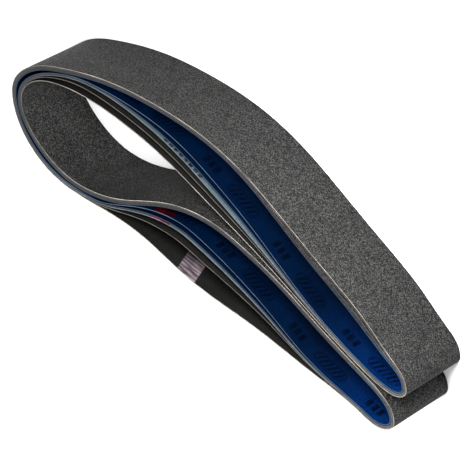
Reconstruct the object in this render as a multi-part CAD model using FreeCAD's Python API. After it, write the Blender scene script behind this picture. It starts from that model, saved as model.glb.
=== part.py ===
import FreeCAD, Part
import math
import os

# A set of five endless grinding belts for a belt grinder, nested in one another and folded
# once into a C for storage. The set stands on the cut edges of its belts. Millimetres, +Z up,
# origin at the middle of the set on the surface it stands on. X runs along the set, from the
# two fold tips (-X) to the wide double bend (+X). Belt 1 is the outermost.

# Driving dimensions
BELT_WIDTH = 75.0
BELT_LENGTH = 2000.0  # round the abrasive face of the outermost belt
COAT = 0.30  # abrasive grain and its resin
CLOTH = 0.38  # woven backing
TAPE = 0.12  # film glued over the butt joint, on the backing
CLEARANCE = 0.32  # between two belts where they lie tight
TAPE_LENGTH = 21.0  # along the belt
TAPE_SLANT = 20.0  # degrees between the joint and a line straight across the belt

# The abrasive face of the outermost belt, anticlockwise: a smooth closed line through these
# points, which is then scaled to BELT_LENGTH and centred.
OUTER_STRAND = [
    (-232, 19), (-225, 9), (-208, 0), (-174, -16), (-134, -30), (-75, -49), (-25, -64),
    (31, -71), (85, -67), (140, -55), (187, -36), (218, -16),
]
OUTER_BEND = [(232, 11), (223, 36), (197, 59)]
LOWER_STRAND = [(158, 71), (110, 67), (60, 63), (4, 69), (-80, 67), (-139, 68), (-196, 70)]
LOWER_TIP = [(-226, 68), (-232, 60), (-228, 49), (-213, 39)]
INNER_LOWER_STRAND = [
    (-186, 32), (-140, 22), (-88, 9), (-45, 2), (-10, 0), (34, 10), (63, 26), (89, 43),
    (119, 56), (152, 60),
]
INNER_BEND = [(181, 53), (204, 40), (217, 25), (219, 12), (211, -3)]
INNER_UPPER_STRAND = [
    (188, -17), (157, -25), (115, -28), (64, -25), (10, -15), (-45, -4), (-90, 7),
    (-140, 20), (-186, 30),
]
UPPER_TIP = [(-214, 33), (-225, 31), (-231, 26)]
OUTLINE = (
    OUTER_STRAND + OUTER_BEND + LOWER_STRAND + LOWER_TIP
    + INNER_LOWER_STRAND + INNER_BEND + INNER_UPPER_STRAND + UPPER_TIP
)
STEPS_PER_SPAN = 3  # the belts are drawn through this many places per span of the outline

# Where neighbouring belts hang apart. Places are millimetres along the outline: the gap opens
# from the first to the second and closes from the third to the fourth. The last number is how
# much wider than CLEARANCE it gets.
SPREAD_OUTER = (3, 80, 125, 265)
SPREAD_LOWER = (655, 762, 768, 960)
GAPS = [
    [(SPREAD_OUTER, 0.6), (SPREAD_LOWER, 24.8), ((1515, 1600, 1696, 1942), 6.8)],
    [(SPREAD_OUTER, 2.2), ((655, 762, 768, 915), 8.5), ((1530, 1640, 1660, 1870), 5.8)],
    [(SPREAD_OUTER, 0.5), (SPREAD_LOWER, 2.0), ((1560, 1740, 1755, 1900), 4.2)],
    [(SPREAD_OUTER, 1.0), (SPREAD_LOWER, 5.0), ((1600, 1712, 1718, 1900), 4.9)],
]
TAPE_PLACES = [758, 170, 718, 110, 721]  # middle of each belt's joint, along the outline

UP = FreeCAD.Vector(0, 0, 1)
REACH = 5.0  # how far the tape's cutter reaches to each side of the backing


def closed_curve(points):
    curve = Part.BSplineCurve()
    curve.interpolate(Points=points, PeriodicFlag=True)
    return curve


def outline():
    """Points of the outline to size, centred on the origin, and each one's place along it."""
    curve = closed_curve([FreeCAD.Vector(x, y, 0) for x, y in OUTLINE])
    scale = BELT_LENGTH / curve.length()
    centre = curve.toShape().BoundBox.Center
    knots = curve.getKnots()
    points = []
    places = []
    place = 0.0
    for start, end in zip(knots, knots[1:]):
        step = (end - start) / STEPS_PER_SPAN
        for i in range(STEPS_PER_SPAN):
            points.append((curve.value(start + i * step) - centre) * scale)
            places.append(place * scale)
            place += curve.length(start + i * step, start + (i + 1) * step)
    return points, places


def moved_inward(points, distances):
    """The points moved square to the smooth line through them, to its left."""
    curve = closed_curve(points)
    moved = []
    for point, knot, distance in zip(points, curve.getKnots(), distances):
        moved.append(point + UP.cross(curve.tangent(knot)[0]) * distance)
    return moved


def eased(value, start, end):
    """0 up to the start, 1 from the end on, smooth between."""
    t = min(max((value - start) / (end - start), 0.0), 1.0)
    return t * t * (3 - 2 * t)


def gap_at(place, windows):
    gap = CLEARANCE
    for (opens, opened, closes, closed), extra in windows:
        gap += extra * (eased(place, opens, opened) - eased(place, closes, closed))
    return gap


def ring(outer_points, inner_points):
    """The solid between two closed lines, as high as a belt is wide."""
    wires = [Part.Wire(closed_curve(points).toShape()) for points in (outer_points, inner_points)]
    return Part.makeFace(wires, "Part::FaceMakerBullseye").extrude(UP * BELT_WIDTH)


def middle_of_joint(inner_points, places, place):
    """The point of the backing at that place along the outline, and its direction there."""
    curve = closed_curve(inner_points)
    knots = curve.getKnots()
    after = next(i for i in range(len(places)) if places[i] > place)
    share = (place - places[after - 1]) / (places[after] - places[after - 1])
    knot = knots[after - 1] + share * (knots[after] - knots[after - 1])
    return curve.value(knot), curve.tangent(knot)[0]


def splice_tape(inner_points, places, place):
    """A slanting strip of film on the backing, square to it and across its whole width."""
    film = ring(inner_points, moved_inward(inner_points, [TAPE] * len(inner_points)))
    middle, along = middle_of_joint(inner_points, places, place)
    across = UP.cross(along)
    lean = along * (BELT_WIDTH * math.tan(math.radians(TAPE_SLANT)))
    corner = middle - along * (TAPE_LENGTH / 2) - lean / 2 - across * REACH
    corners = [
        corner,
        corner + along * TAPE_LENGTH,
        corner + along * TAPE_LENGTH + lean + UP * BELT_WIDTH,
        corner + lean + UP * BELT_WIDTH,
        corner,
    ]
    cutter = Part.Face(Part.makePolygon(corners)).extrude(across * (2 * REACH))
    return film.common(cutter).Solids[0]


def save(name, shape):
    shape.exportStep(f"parts/{name}.step")
    print(f"{name}: valid {shape.isValid()}, volume {shape.Volume:.0f}, box {shape.BoundBox}")


def main():
    os.makedirs("parts", exist_ok=True)
    face, places = outline()
    for number, tape_place in enumerate(TAPE_PLACES, start=1):
        bond = moved_inward(face, [COAT] * len(face))
        back = moved_inward(bond, [CLOTH] * len(face))
        save(f"belt_{number}_abrasive_coat", ring(face, bond))
        save(f"belt_{number}_cloth_backing", ring(bond, back))
        save(f"belt_{number}_splice_tape", splice_tape(back, places, tape_place))
        print(f"belt {number}: {closed_curve(face).length():.0f} mm round its abrasive face")
        if number <= len(GAPS):
            face = moved_inward(back, [gap_at(place, GAPS[number - 1]) for place in places])


main()
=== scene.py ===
import bmesh
import bpy
import math
import numpy as np
from mathutils import Matrix, Vector


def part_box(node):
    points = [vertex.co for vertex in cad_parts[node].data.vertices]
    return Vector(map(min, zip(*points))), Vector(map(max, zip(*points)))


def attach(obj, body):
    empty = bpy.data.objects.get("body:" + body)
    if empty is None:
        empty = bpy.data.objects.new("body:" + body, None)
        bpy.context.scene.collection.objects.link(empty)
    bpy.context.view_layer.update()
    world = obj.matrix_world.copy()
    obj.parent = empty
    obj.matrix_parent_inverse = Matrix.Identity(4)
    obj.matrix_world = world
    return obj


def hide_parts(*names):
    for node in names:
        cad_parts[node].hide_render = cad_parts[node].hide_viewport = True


# The looks of a set of five endless grinding belts, nested and folded into a C, built round the
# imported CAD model. Metres, +Z up. Each belt is drawn on the closed line that its abrasive face
# makes at the top edge of the CAD model, and each tape between the places that it has there, so
# only the thicknesses of the model are repeated here. Every piece has a UV map named "belt":
# u is metres along the belt and v is metres above its foot.

COAT = 0.0003  # grain and resin
CLOTH = 0.0005  # woven backing, a little thicker than in CAD, inside the clearance
TAPE = 0.00012  # film over the joint
COARSE_STEP = 0.0015  # longest step along a belt
FINE_STEP = 0.0004  # shortest, at the tight folds
TURN_PER_STEP = 0.09  # radians that a step may turn
ROWS = 16  # across a belt
RAGGED = 0.00007  # how far the cut edge wanders
RAGGED_WIDTH = 3  # columns that one wander of the cut edge is smoothed over
GRIT_PROUD = 0.00002  # how far the grain stands out of the CAD face
TAPE_COLUMNS = 40
TAPE_WEAR = 0.00012  # how far the tape's edges are worn back
SHARP_ANGLE = 50  # degrees
BELTS = range(1, 6)

SAMPLE = 0.0002  # step of the fine line that lengths and turns are measured on
AROUND = 3  # samples to each side that give the line's direction
TURN_AROUND = 20  # samples to each side that its turn is averaged over
TIPS_APART_Y = 0.045  # between the two fold tips; a belt's places start at the tip below it

CAMERA_PLACE = (-1.10886, -1.66454, 1.92108)
CAMERA_AHEAD = (0.39832, 0.61336, -0.68200)
CAMERA_ROLL = -118.865  # degrees
CAMERA_LENS = 244.8

rng = np.random.default_rng(7)


# ---------- the closed line of each belt, read from the CAD nodes

def top_rim(node):
    """The outer closed line of a ring-shaped node's top face, anticlockwise, N x 2."""
    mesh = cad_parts[node].data
    co = np.empty(len(mesh.vertices) * 3)
    mesh.vertices.foreach_get("co", co)
    co = co.reshape(-1, 3)
    merged, index = np.unique(np.round(co, 6), axis=0, return_inverse=True)
    corners = np.empty(len(mesh.loops), int)
    mesh.loops.foreach_get("vertex_index", corners)
    triangles = index.reshape(-1)[corners].reshape(-1, 3)
    on_top = merged[:, 2] > merged[:, 2].max() - 1e-5
    triangles = triangles[on_top[triangles].all(axis=1)]
    edges = np.sort(np.vstack([triangles[:, [0, 1]], triangles[:, [1, 2]], triangles[:, [2, 0]]]))
    edges, count = np.unique(edges, axis=0, return_counts=True)
    loops = [merged[loop][:, :2] for loop in loops_of(edges[count == 1])]
    line = max(loops, key=length_round)
    return line if area_inside(line) > 0 else line[::-1]


def loops_of(edges):
    """The closed loops that the edges make, as lists of points' numbers."""
    links = {}
    for a, b in edges:
        links.setdefault(a, []).append(b)
        links.setdefault(b, []).append(a)
    loops = []
    while links:
        start = next(iter(links))
        loop = [start]
        last, here = None, start
        while True:
            ahead = [i for i in links[here] if i != last]
            last, here = here, ahead[0]
            if here == start:
                break
            loop.append(here)
        for i in loop:
            links.pop(i)
        loops.append(loop)
    return loops


def length_round(line):
    return np.linalg.norm(np.roll(line, -1, axis=0) - line, axis=1).sum()


def area_inside(line):
    after = np.roll(line, -1, axis=0)
    return 0.5 * np.sum(line[:, 0] * after[:, 1] - line[:, 1] * after[:, 0])


def periodic_spline(line):
    """A function giving points of the smooth closed curve through a line, and its length."""
    steps = np.linalg.norm(np.roll(line, -1, axis=0) - line, axis=1)
    line = line[steps > 0.00005]
    steps = np.linalg.norm(np.roll(line, -1, axis=0) - line, axis=1)
    n = len(line)
    before = np.roll(steps, 1)
    matrix = np.zeros((n, n))
    row = np.arange(n)
    matrix[row, row] = 2 * (before + steps)
    matrix[row, (row - 1) % n] = before
    matrix[row, (row + 1) % n] = steps
    slope = (np.roll(line, -1, axis=0) - line) / steps[:, None]
    second = np.linalg.solve(matrix, 6 * (slope - np.roll(slope, 1, axis=0)))
    places = np.concatenate([[0], np.cumsum(steps)])

    def at(s):
        s = np.mod(s, places[-1])
        i = np.clip(np.searchsorted(places, s, side="right") - 1, 0, n - 1)
        h = steps[i][:, None]
        t = (s - places[i])[:, None] / h
        a, b = line[i], line[(i + 1) % n]
        ma, mb = second[i], second[(i + 1) % n]
        bent = ((1 - t) ** 3 - (1 - t)) * ma + (t ** 3 - t) * mb
        return (1 - t) * a + t * b + h * h / 6 * bent

    return at, places[-1]


def between(at, places, rows):
    """The two columns of rows, which belong to places, read off at other places."""
    return np.stack([np.interp(at, places, rows[:, k]) for k in (0, 1)], -1)


def closed_up(rows):
    """The rows with the first one repeated at the end."""
    return np.vstack([rows, rows[:1]])


def wanted_steps(along, step):
    """How long a step of the mesh may be at each sample: shorter where the line turns more."""
    heading = np.unwrap(np.arctan2(along[:, 1], along[:, 0]))
    turn = np.abs(np.gradient(heading)) / step
    window = 2 * TURN_AROUND + 1
    wrapped = np.r_[turn[-TURN_AROUND:], turn, turn[:TURN_AROUND]]
    turn = np.convolve(wrapped, np.ones(window) / window, "valid")
    return np.clip(TURN_PER_STEP / np.maximum(turn, 1e-6), FINE_STEP, COARSE_STEP)


class Line:
    """A belt's abrasive face seen from above: points, square-inward directions and places."""

    def __init__(self, belt):
        at, total = periodic_spline(top_rim(f"belt_{belt}_abrasive_coat"))
        fine = at(np.arange(0, total, SAMPLE))
        x = np.where(fine[:, 1] < TIPS_APART_Y, fine[:, 0], np.inf)
        fine = np.roll(fine, -int(np.argmin(x)), axis=0)
        step = np.linalg.norm(np.roll(fine, -1, axis=0) - fine, axis=1)
        along = np.roll(fine, -AROUND, axis=0) - np.roll(fine, AROUND, axis=0)
        along /= np.linalg.norm(along, axis=1)[:, None]
        share = np.concatenate([[0], np.cumsum(step / wanted_steps(along, step))])
        count = int(math.ceil(share[-1]))
        places = np.concatenate([[0], np.cumsum(step)])
        self.length = places[-1]
        self.places = np.interp(np.arange(count) * share[-1] / count, share, places)
        self.points = between(self.places, places, closed_up(fine))
        tangents = between(self.places, places, closed_up(along))
        tangents /= np.linalg.norm(tangents, axis=1)[:, None]
        self.inward = np.stack([-tangents[:, 1], tangents[:, 0]], 1)

    def place_of(self, points):
        """The places along the belt nearest to the given points."""
        apart = np.linalg.norm(self.points[None] - np.asarray(points)[:, None], axis=2)
        return self.places[np.argmin(apart, axis=1)]

    def at(self, places, depth):
        """Points on the belt, that far in from the abrasive face."""
        ring = np.append(self.places, self.length)
        points = between(places, ring, closed_up(self.points))
        inward = between(places, ring, closed_up(self.inward))
        return points + inward * depth


# ---------- meshes

def mesh_object(name, co, quads, uvs, slots, materials):
    """An object of quads, each with its material slot and its four corners' UVs in a row."""
    mesh = bpy.data.meshes.new(name)
    mesh.vertices.add(len(co))
    mesh.vertices.foreach_set("co", co.astype(np.float32).ravel())
    mesh.loops.add(quads.size)
    mesh.loops.foreach_set("vertex_index", quads.astype(np.int32).ravel())
    mesh.polygons.add(len(quads))
    mesh.polygons.foreach_set("loop_start", np.arange(0, quads.size, 4, dtype=np.int32))
    mesh.polygons.foreach_set("material_index", slots.astype(np.int32))
    mesh.update(calc_edges=True)
    mesh.uv_layers.new(name="belt").data.foreach_set("uv", uvs.astype(np.float32).ravel())
    mesh.validate()
    for material in materials:
        mesh.materials.append(material)
    mesh.polygons.foreach_set("use_smooth", np.ones(len(quads), bool))
    mesh.set_sharp_from_angle(angle=math.radians(SHARP_ANGLE))
    obj = bpy.data.objects.new(name, mesh)
    bpy.context.scene.collection.objects.link(obj)
    return obj


def grid_object(name, co, u, v, slots, materials, closed):
    """Columns along the belt, each a closed section, joined by quads.

    closed is the belt's length where the last column joins the first one, otherwise 0.
    """
    columns, across = co.shape[:2]
    runs = columns if closed else columns - 1
    i, j = np.meshgrid(np.arange(runs), np.arange(across), indexing="ij")
    i, j = i.ravel(), j.ravel()
    ahead, above = (i + 1) % columns, (j + 1) % across
    corners = [(i, j), (ahead, j), (ahead, above), (i, above)]
    quads = np.stack([column * across + row for column, row in corners], 1)
    uvs = []
    for column, row in corners:
        past_start = np.where(column < i, closed, 0.0)
        uvs.append(u[column, row] + past_start)
        uvs.append(v[column, row])
    return mesh_object(name, co.reshape(-1, 3), quads, np.stack(uvs, 1), slots[j], materials)


def profile(rows, height, outer, inner):
    """A slab's closed section: (depth, height, the face's slot) round from the outer foot."""
    section = []
    for k in range(rows + 1):
        section.append((outer, height * k / rows, 0 if k < rows else 1))
    section.append((inner, height, 0))
    for k in range(rows - 1, -1, -1):
        section.append((inner, height * k / rows, 0 if k else 1))
    return section


def slab(name, line, height, outer, inner, materials):
    """A belt layer between two depths, with slightly ragged cut edges."""
    section = profile(ROWS, height, outer, inner)
    depth = np.array([p[0] for p in section])
    level = np.array([p[1] for p in section])
    slots = np.array([p[2] for p in section])
    columns = len(line.points)
    co = np.empty((columns, len(section), 3))
    co[..., :2] = line.points[:, None] + line.inward[:, None] * depth[None, :, None]
    co[..., 2] = level[None]
    top = level > height - 1e-9
    foot = level < 1e-9
    co[:, top, 2] -= np.abs(smooth_noise(columns, RAGGED_WIDTH) * RAGGED)[:, None]
    co[:, foot, 2] += np.abs(smooth_noise(columns, RAGGED_WIDTH) * RAGGED)[:, None]
    u = np.repeat(line.places[:, None], len(section), axis=1)
    v = np.repeat(level[None], columns, axis=0)
    return grid_object(name, co, u, v, slots, materials, closed=line.length)


def smooth_noise(count, width):
    """Random values of about unit spread, each like its neighbours."""
    noise = rng.normal(size=count + 2 * width)
    kernel = np.hanning(2 * width + 1)
    return np.convolve(noise, kernel / np.sqrt((kernel ** 2).sum()), "valid")


def tape_object(name, line, height, corners, depth, material):
    """A film on the cloth. corners are its two ends' places at the foot and at the top."""
    (foot_start, foot_end), (top_start, top_end) = corners
    across = 2 * (ROWS + 1)
    share = np.linspace(0, 1, TAPE_COLUMNS)[:, None]
    up = np.concatenate([np.arange(ROWS + 1), np.arange(ROWS, -1, -1)])[None] / ROWS
    start = foot_start + (top_start - foot_start) * up
    end = foot_end + (top_end - foot_end) * up
    place = start + (end - start) * share
    deep = np.where(np.arange(across) <= ROWS, depth, depth + TAPE)[None] + 0 * place
    worn = TAPE_WEAR * np.sin(place * 2600) * np.sin(place * 911 + 1)
    co = np.empty(place.shape + (3,))
    co[..., :2] = line.at(place, deep[..., None])
    co[..., 2] = height * up + 0 * place
    co[..., 2] += np.where(up == 1, -np.abs(worn), np.where(up == 0, np.abs(worn), 0))
    v = height * up + 0 * place
    slots = np.zeros(across, int)
    obj = grid_object(name, co, place, v, slots, [material], closed=0)
    close_ends(obj, TAPE_COLUMNS, across)
    return obj


def close_ends(obj, columns, across):
    """Caps a strip's two open ends with a quad per row."""
    bm = bmesh.new()
    bm.from_mesh(obj.data)
    bm.verts.ensure_lookup_table()
    uv = bm.loops.layers.uv.active
    half = across // 2
    for first in (0, (columns - 1) * across):
        for k in range(half - 1):
            ring = [first + k, first + k + 1, first + across - 2 - k, first + across - 1 - k]
            if first == 0:
                ring = ring[::-1]
            face = bm.faces.new([bm.verts[i] for i in ring])
            for loop in face.loops:
                loop[uv].uv = loop.vert.link_loops[0][uv].uv
    bmesh.ops.recalc_face_normals(bm, faces=bm.faces)
    bm.to_mesh(obj.data)
    bm.free()


# ---------- materials

class Paint:
    """A node material in the making. Its helpers take numbers or sockets and return sockets."""

    def __init__(self, name, **values):
        self.material = bpy.data.materials.new(name)
        self.material.use_nodes = True
        self.tree = self.material.node_tree
        self.shader = self.tree.nodes["Principled BSDF"]
        for key, value in values.items():
            self.shader.inputs[key.replace("_", " ")].default_value = value
        place = self.tree.nodes.new("ShaderNodeUVMap")
        place.uv_map = "belt"
        self.uv = place.outputs[0]
        split = self.node("ShaderNodeSeparateXYZ", {0: self.uv})
        self.u, self.v = split.outputs[0], split.outputs[1]
        self.where = self.tree.nodes.new("ShaderNodeTexCoord").outputs["Object"]

    def node(self, kind, links, **settings):
        node = self.tree.nodes.new(kind)
        for key, value in settings.items():
            setattr(node, key, value)
        for socket, value in links.items():
            if isinstance(value, bpy.types.NodeSocket):
                self.tree.links.new(value, node.inputs[socket])
            else:
                node.inputs[socket].default_value = value
        return node

    def x(self):
        """Metres along the whole set, from its middle towards the wide bend."""
        return self.node("ShaderNodeSeparateXYZ", {0: self.where}).outputs[0]

    def math(self, operation, a, b=0.0, c=0.0):
        return self.node("ShaderNodeMath", {0: a, 1: b, 2: c}, operation=operation).outputs[0]

    def vector(self, x, y, z=0.0):
        return self.node("ShaderNodeCombineXYZ", {0: x, 1: y, 2: z}).outputs[0]

    def noise(self, vector, scale, detail=2.0, roughness=0.5):
        links = {"Vector": vector, "Scale": scale, "Detail": detail, "Roughness": roughness}
        return self.node("ShaderNodeTexNoise", links).outputs["Fac"]

    def cells(self, vector, scale):
        """A random value for each cell, and the distance from its middle."""
        node = self.node("ShaderNodeTexVoronoi", {"Vector": vector, "Scale": scale})
        shade = self.node("ShaderNodeSeparateColor", {0: node.outputs["Color"]})
        return shade.outputs[0], node.outputs["Distance"]

    def spread(self, value, low, high, to_low=0.0, to_high=1.0):
        """The value, moved from the range low to high onto the other range and kept in it."""
        links = {"Value": value, "From Min": low, "From Max": high,
                 "To Min": to_low, "To Max": to_high}
        return self.node("ShaderNodeMapRange", links).outputs[0]

    def mix(self, share, a, b):
        links = {0: share, 6: a, 7: b}
        return self.node("ShaderNodeMix", links, data_type="RGBA").outputs[2]

    def colour(self, value):
        self.tree.links.new(value, self.shader.inputs["Base Color"])

    def roughness(self, value):
        self.tree.links.new(value, self.shader.inputs["Roughness"])

    def bump(self, height, distance, strength=1.0):
        links = {"Height": height, "Distance": distance, "Strength": strength}
        node = self.node("ShaderNodeBump", links)
        self.tree.links.new(node.outputs[0], self.shader.inputs["Normal"])

    def repeated(self, value, pitch, offset=0.0):
        """The distance from the middle of the cell of that pitch, from -pitch/2 to pitch/2."""
        moved = self.math("ADD", value, offset)
        share = self.math("FRACT", self.math("DIVIDE", moved, pitch))
        return self.math("MULTIPLY", self.math("SUBTRACT", share, 0.5), pitch)

    def within(self, value, limit, soft=0.0002):
        """1 where the value is less than limit away from 0, otherwise 0, soft between."""
        return self.below(self.math("ABSOLUTE", value), limit, soft)

    def below(self, value, limit, soft=0.0002):
        """1 where the value is under the limit, 0 over it, soft between."""
        return self.spread(value, limit - soft, limit + soft, 1.0, 0.0)

    def capsule(self, a, b, half, radius):
        """How far (a, b) is outside a capsule lying along a."""
        past = self.math("MAXIMUM", self.math("SUBTRACT", self.math("ABSOLUTE", a), half), 0.0)
        square = self.math("MULTIPLY_ADD", past, past, self.math("MULTIPLY", b, b))
        return self.math("SUBTRACT", self.math("SQRT", square), radius)


def rgb(red, green, blue):
    """A colour from 0 to 255 as shown on a screen, made linear."""
    linear = [(c / 255 / 12.92) if c < 11 else ((c / 255 + 0.055) / 1.055) ** 2.4
              for c in (red, green, blue)]
    return (*linear, 1.0)


GRAIN = 2600.0  # grains to a metre
COARSE_GRAIN = 1500.0
JOINT_HALF = 0.00035  # half the width of the butt joint's hairline
THREAD_PITCH = 0.00056  # of the woven backing


def past_joint(paint, middle, slope, height):
    """How far along the belt a point is past the slanting butt joint."""
    lean = paint.math("MULTIPLY", paint.math("SUBTRACT", paint.v, height / 2), slope)
    return paint.math("SUBTRACT", paint.math("SUBTRACT", paint.u, middle), lean)


def grit_material(name, joint_line):
    """Black grain in resin: a salt and pepper of facets, with the butt joint's hairline."""
    paint = Paint(name, Roughness=0.6, Specular_IOR_Level=0.05)
    grain, reach = paint.cells(paint.where, GRAIN)
    coarse, _ = paint.cells(paint.where, COARSE_GRAIN)
    cloud = paint.noise(paint.where, 55.0, 3.0)
    salt = paint.math("POWER", grain, 3.0)
    tone = paint.math("MULTIPLY_ADD", paint.math("POWER", coarse, 4.0), 1.45,
                      paint.math("MULTIPLY", salt, 0.3))
    tone = paint.math("MULTIPLY", tone, paint.spread(cloud, 0.3, 0.7, 0.86, 1.14))
    joint = paint.within(past_joint(paint, *joint_line), JOINT_HALF, 0.0001)
    colour = paint.mix(tone, rgb(6, 6, 6), rgb(66, 66, 65))
    paint.colour(paint.mix(paint.math("MULTIPLY", joint, 0.8), colour, rgb(5, 5, 5)))
    relief = paint.math("SUBTRACT", paint.math("MULTIPLY_ADD", grain, 0.5, coarse), reach)
    paint.bump(paint.math("SUBTRACT", relief, joint), 0.00022, 0.55)
    paint.roughness(paint.spread(grain, 0, 1, 0.7, 0.5))
    return paint.material


def resin_material(name):
    """The coat's cut edge: dark resin with a few broken grains."""
    paint = Paint(name, Roughness=0.6, Specular_IOR_Level=0.05)
    grain, _ = paint.cells(paint.where, GRAIN)
    paint.colour(paint.mix(paint.math("POWER", grain, 4.0), rgb(4, 4, 4), rgb(34, 33, 32)))
    paint.bump(grain, 0.0001, 0.5)
    return paint.material


def weave(paint):
    """Heights of a plain weave, 0 to 1."""
    turn = math.pi / THREAD_PITCH
    warp = paint.math("ABSOLUTE", paint.math("SINE", paint.math("MULTIPLY", paint.u, turn)))
    weft = paint.math("ABSOLUTE", paint.math("SINE", paint.math("MULTIPLY", paint.v, turn)))
    over = paint.math("SINE", paint.math("MULTIPLY", paint.math("ADD", paint.u, paint.v), turn))
    share = paint.spread(over, -0.4, 0.4)
    first = paint.math("MULTIPLY", warp, share)
    second = paint.math("MULTIPLY", weft, paint.math("SUBTRACT", 1.0, share))
    return paint.math("ADD", first, second)


def cloth_material(name, dye_and_tip_light, prints):
    """Dyed and resin-filled woven backing, with painted light brightening it at the fold tips,
    and a darker print.
    """
    base, light, painted_tip_light = dye_and_tip_light
    paint = Paint(name, Roughness=0.5, Specular_IOR_Level=0.02)
    height = weave(paint)
    cloud = paint.noise(paint.where, 28.0, 4.0, 0.6)
    fleck = paint.noise(paint.vector(paint.math("MULTIPLY", paint.u, 480.0),
                                     paint.math("MULTIPLY", paint.v, 1100.0)), 1.0, 2.0)
    tone = paint.math("MULTIPLY_ADD", paint.spread(cloud, 0.3, 0.7), 0.3,
                      paint.math("MULTIPLY", paint.spread(fleck, 0.36, 0.64), 0.6))
    tone = paint.math("MULTIPLY_ADD", height, 0.15, tone)
    colour = paint.mix(tone, base, light)
    # Painted light: towards the fold tips the cloth's colour turns to a brighter shade.
    painted_tip_share = paint.spread(paint.x(), -0.215, -0.125, 0.7, 0.0)
    colour = paint.mix(paint.math("MULTIPLY", painted_tip_share, tone), colour, painted_tip_light)
    if prints:
        ink = prints(paint)
        worn = paint.spread(paint.noise(paint.where, 420.0, 2.0), 0.35, 0.6, 0.55, 0.95)
        colour = paint.mix(paint.math("MULTIPLY", ink, worn), colour, rgb(0, 2, 10))
    paint.colour(colour)
    paint.bump(height, 0.00005, 0.7)
    paint.roughness(paint.spread(cloud, 0.3, 0.7, 0.45, 0.6))
    return paint.material


MARK_PITCH = 0.095  # from one capsule to the next, and from one group of blocks to the next
MARK_LEVEL = 0.063  # of the upper row, above the foot
MARK_ROWS_APART = 0.038
CAPSULE_HALF = 0.011  # half its straight part
CAPSULE_RADIUS = 0.0052  # of the hatched inside
RIM_RADIUS = 0.0066
RIM_HALF = 0.0006  # half the rim's width
BAR_PITCH = 0.0048
BAR_HALF = 0.0015
BAR_SLANT = 0.35
BLOCKS_AFTER = 0.44  # of the pitch, from a capsule to its group of blocks
BLOCK_PITCH = 0.0066
BLOCK_HALF = 0.0023
BLOCK_HALF_HEIGHT = 0.0048
BLOCK_GROUP_HALF = 0.0099  # room for three


def mark_row(paint, level, offset):
    """A row of generic marks: a hatched capsule, then three blocks, turn about."""
    up = paint.math("SUBTRACT", paint.v, level)
    along = paint.repeated(paint.u, MARK_PITCH, offset)
    slanted = paint.math("MULTIPLY_ADD", up, BAR_SLANT, along)
    bars = paint.within(paint.repeated(slanted, BAR_PITCH), BAR_HALF)
    inside = paint.below(paint.capsule(along, up, CAPSULE_HALF, CAPSULE_RADIUS), 0.0)
    rim = paint.within(paint.capsule(along, up, CAPSULE_HALF, RIM_RADIUS), RIM_HALF)
    capsule = paint.math("MAXIMUM", rim, paint.math("MULTIPLY", bars, inside))
    past = paint.repeated(paint.u, MARK_PITCH, offset + BLOCKS_AFTER * MARK_PITCH)
    blocks = paint.within(paint.repeated(past, BLOCK_PITCH, BLOCK_PITCH / 2), BLOCK_HALF)
    group = paint.math("MULTIPLY", blocks, paint.within(past, BLOCK_GROUP_HALF))
    return paint.math("MAXIMUM", capsule,
                      paint.math("MULTIPLY", group, paint.within(up, BLOCK_HALF_HEIGHT)))


def marks(offset):
    """Two rows of marks, moved along the belt by the offset."""

    def both(paint):
        upper = mark_row(paint, MARK_LEVEL, offset)
        lower = mark_row(paint, MARK_LEVEL - MARK_ROWS_APART, offset + MARK_PITCH / 4)
        return paint.math("MAXIMUM", upper, lower)

    return both


DASH_GROUP_PITCH = 0.6
DASH_GROUP_OFFSET = -0.218
DASH_GROUP_HALF = 0.0238
DASH_LEVEL = 0.0705
DASH_PITCH = 0.0062
DASH_HALF = 0.0021
DASH_HALF_HEIGHT = 0.0036


def dashes(paint):
    """Small blocks near the top edge, in groups."""
    along = paint.repeated(paint.u, DASH_GROUP_PITCH, DASH_GROUP_OFFSET)
    up = paint.math("SUBTRACT", paint.v, DASH_LEVEL)
    block = paint.within(paint.repeated(along, DASH_PITCH), DASH_HALF)
    group = paint.math("MULTIPLY", block, paint.within(along, DASH_GROUP_HALF))
    return paint.math("MULTIPLY", group, paint.within(up, DASH_HALF_HEIGHT))


# The belts press together on the outer strand and on the inner lower strand, which are this
# far apart along a belt. The edges are at their dullest this far to each side of the middle of
# those strands, and as bright as elsewhere from the second distance on.
PRESSED_EVERY = 1.0
PRESSED_OFFSET = 0.23
PRESSED_UP_TO = 0.17
PRESSED_NO_MORE = 0.25


def edge_material(name, thread, gap, shown):
    """A cut edge: thread ends in darker resin, duller at the wide bend and where belts press.

    shown is how much of the thread's colour is left where the belts press together.
    """
    paint = Paint(name, Roughness=0.75, Specular_IOR_Level=0.25)
    ends, _ = paint.cells(paint.vector(paint.math("MULTIPLY", paint.u, 1400.0), 0.0), 1.0)
    drift = paint.noise(paint.vector(paint.math("MULTIPLY", paint.u, 45.0), 0.0), 1.0, 3.0)
    share = paint.math("MULTIPLY", paint.spread(ends, 0.0, 1.0, 0.5, 1.0),
                       paint.spread(drift, 0.3, 0.65, 0.15, 1.0))
    off = paint.math("ABSOLUTE", paint.repeated(paint.u, PRESSED_EVERY, PRESSED_OFFSET))
    pressed = paint.spread(off, PRESSED_UP_TO, PRESSED_NO_MORE, shown, 1.0)
    bent = paint.spread(paint.x(), 0.15, 0.21, 1.0, 0.3)
    share = paint.math("MULTIPLY", paint.math("MULTIPLY", share, pressed), bent)
    paint.colour(paint.mix(share, gap, thread))
    paint.bump(ends, 0.00008, 0.6)
    return paint.material


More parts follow.
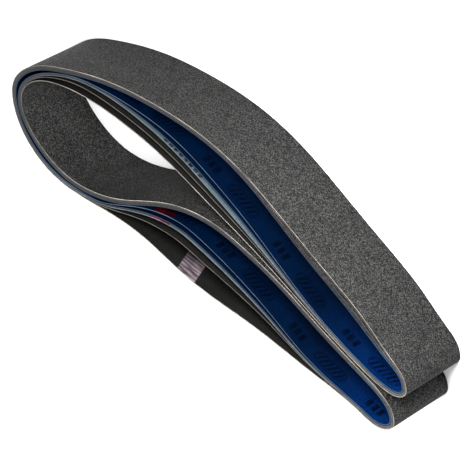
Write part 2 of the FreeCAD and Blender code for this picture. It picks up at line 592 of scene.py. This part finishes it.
def tape_material(name, film, joint_line):
    """Film with fibres running along the belt, paler on one side of the joint than the other."""
    dark, light, before, after = film
    paint = Paint(name, Roughness=0.42, Specular_IOR_Level=0.15)
    along = paint.math("MULTIPLY", paint.u, 60.0)
    across = paint.math("MULTIPLY", paint.v, 1500.0)
    fibre = paint.noise(paint.vector(along, across), 1.0, 2.0)
    band = paint.noise(paint.vector(along, paint.math("MULTIPLY", paint.v, 480.0)), 1.0, 1.0)
    share = paint.math("MULTIPLY_ADD", paint.spread(fibre, 0.3, 0.7), 0.3,
                       paint.math("MULTIPLY", paint.spread(band, 0.4, 0.62), 0.7))
    off = past_joint(paint, *joint_line)
    share = paint.math("MULTIPLY", share, paint.spread(off, -0.0016, 0.0016, before, after))
    paint.colour(paint.mix(share, dark, light))
    paint.bump(fibre, 0.00006, 0.7)
    paint.roughness(paint.spread(fibre, 0.3, 0.7, 0.45, 0.3))
    return paint.material


# ---------- the belts

# Dyes: the ground, the threads, and the painted light at the fold tips.
CHARCOAL = (rgb(11, 11, 11), rgb(27, 27, 26), rgb(30, 30, 29))
SLATE = (rgb(46, 57, 64), rgb(78, 92, 100), rgb(84, 98, 106))
NAVY = (rgb(0, 5, 22), rgb(0, 14, 37), rgb(2, 36, 92))

# Films: between the fibres, the fibres, and how much they show before and after the joint.
LILAC = (rgb(24, 19, 26), rgb(128, 114, 120), 0.7, 1.1)
PINK = (rgb(40, 3, 13), rgb(122, 40, 60), 1.5, 0.45)
MAROON = (rgb(11, 0, 2), rgb(50, 3, 12), 1.5, 0.4)

# Each belt's dye and painted tip light, print, cut edge (thread, gap, shown), film, and its
# slots' names.
LOOKS = {
    1: (CHARCOAL, None, (rgb(156, 148, 140), rgb(52, 46, 42), 1.0), LILAC,
        "cloth_charcoal", "tape_lilac"),
    2: (CHARCOAL, None, (rgb(86, 77, 69), rgb(18, 15, 13), 0.25), LILAC,
        "cloth_charcoal", "tape_lilac"),
    3: (SLATE, dashes, (rgb(84, 94, 100), rgb(10, 14, 18), 0.05), PINK,
        "cloth_slate", "tape_pink"),
    4: (NAVY, marks(0.02), (rgb(18, 32, 48), rgb(0, 6, 16), 0.2), MAROON,
        "cloth_navy", "tape_maroon"),
    5: (NAVY, marks(-0.0215), (rgb(46, 74, 94), rgb(0, 8, 20), 0.05), MAROON,
        "cloth_navy", "tape_maroon"),
}


def tape_corners(node, line, height):
    """Places of the tape's two ends, at its foot and at its top, read from the CAD node."""
    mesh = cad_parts[node].data
    co = np.empty(len(mesh.vertices) * 3)
    mesh.vertices.foreach_get("co", co)
    co = co.reshape(-1, 3)
    ends = []
    for level in (0.0, height):
        near = co[np.abs(co[:, 2] - level) < 0.0002][:, :2]
        places = line.place_of(near)
        ends.append((places.min(), places.max()))
    return ends


def build_belt(number):
    """A belt's grit, cloth and tape, each riding on the belt in place of its CAD node."""
    dye_and_tip_light, prints, edge, film, cloth_slot, tape_slot = LOOKS[number]
    line = Line(number)
    body = f"belt_{number}"
    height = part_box(f"{body}_cloth_backing")[1].z
    corners = tape_corners(f"{body}_splice_tape", line, height)
    middle = sum(map(sum, corners)) / 4
    slope = (sum(corners[1]) - sum(corners[0])) / 2 / height
    joint_line = (middle, slope, height)

    grit = slab(f"{body}_grit", line, height, -GRIT_PROUD, COAT,
                [grit_material(f"grit_{number}", joint_line),
                 resin_material(f"cut_resin_{number}")])
    cloth = slab(f"{body}_cloth", line, height, COAT, COAT + CLOTH,
                 [cloth_material(f"cloth_{number}", dye_and_tip_light, prints),
                  edge_material(f"cut_edge_{number}", *edge)])
    tape = tape_object(f"{body}_tape", line, height, corners, COAT + CLOTH,
                       tape_material(f"tape_{number}", film, joint_line))
    for piece, node, slot in (
        (grit, "abrasive_coat", "abrasive_black"),
        (cloth, "cloth_backing", cloth_slot),
        (tape, "splice_tape", tape_slot),
    ):
        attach(piece, body)
        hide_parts(f"{body}_{node}")


# ---------- camera, floor and light

def add_camera():
    data = bpy.data.cameras.new("camera")
    data.lens = CAMERA_LENS
    data.clip_end = 20
    camera = bpy.data.objects.new("camera", data)
    ahead = Vector(CAMERA_AHEAD)
    side = ahead.cross(Vector((0, 0, 1))).normalized()
    above = side.cross(ahead)
    roll = math.radians(CAMERA_ROLL)
    right = math.cos(roll) * side + math.sin(roll) * above
    up = -math.sin(roll) * side + math.cos(roll) * above
    turn = Matrix((right, up, -ahead)).transposed().to_4x4()
    camera.matrix_world = Matrix.Translation(CAMERA_PLACE) @ turn
    bpy.context.scene.collection.objects.link(camera)
    bpy.context.scene.camera = camera


def add_floor():
    bpy.ops.mesh.primitive_plane_add(size=12)
    floor = bpy.context.object
    floor.name = "floor"
    paint = bpy.data.materials.new("floor")
    paint.use_nodes = True
    shader = paint.node_tree.nodes["Principled BSDF"]
    shader.inputs["Base Color"].default_value = (0.57, 0.57, 0.57, 1)
    shader.inputs["Roughness"].default_value = 0.9
    shader.inputs["Specular IOR Level"].default_value = 0.1
    floor.data.materials.append(paint)


def add_light(name, place, size, power):
    data = bpy.data.lights.new(name, "AREA")
    data.size = size
    data.energy = power
    light = bpy.data.objects.new(name, data)
    light.location = place
    light.visible_camera = False
    light.rotation_euler = (-Vector(place)).to_track_quat("-Z", "Y").to_euler()
    bpy.context.scene.collection.objects.link(light)


def add_world():
    world = bpy.data.worlds.new("studio")
    world.use_nodes = True
    sky = world.node_tree.nodes["Background"]
    sky.inputs[0].default_value = (1, 1, 1, 1)
    sky.inputs[1].default_value = 0.3
    bpy.context.scene.world = world


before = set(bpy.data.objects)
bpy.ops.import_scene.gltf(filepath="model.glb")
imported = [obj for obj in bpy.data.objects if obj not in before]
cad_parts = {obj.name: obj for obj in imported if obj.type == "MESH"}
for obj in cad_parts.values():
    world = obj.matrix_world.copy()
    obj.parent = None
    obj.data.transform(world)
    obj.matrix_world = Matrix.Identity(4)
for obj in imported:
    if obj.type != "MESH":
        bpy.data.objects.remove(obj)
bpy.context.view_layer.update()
for belt in BELTS:
    build_belt(belt)
add_camera()
add_floor()
add_world()
add_light("key", (-0.22, -0.37, 0.39), 0.2, 11)
add_light("top", (0.0, 0.0, 2.2), 0.7, 60)
add_light("back", (0.9, 1.4, 1.1), 1.2, 80)
bpy.context.scene.view_settings.view_transform = "Standard"
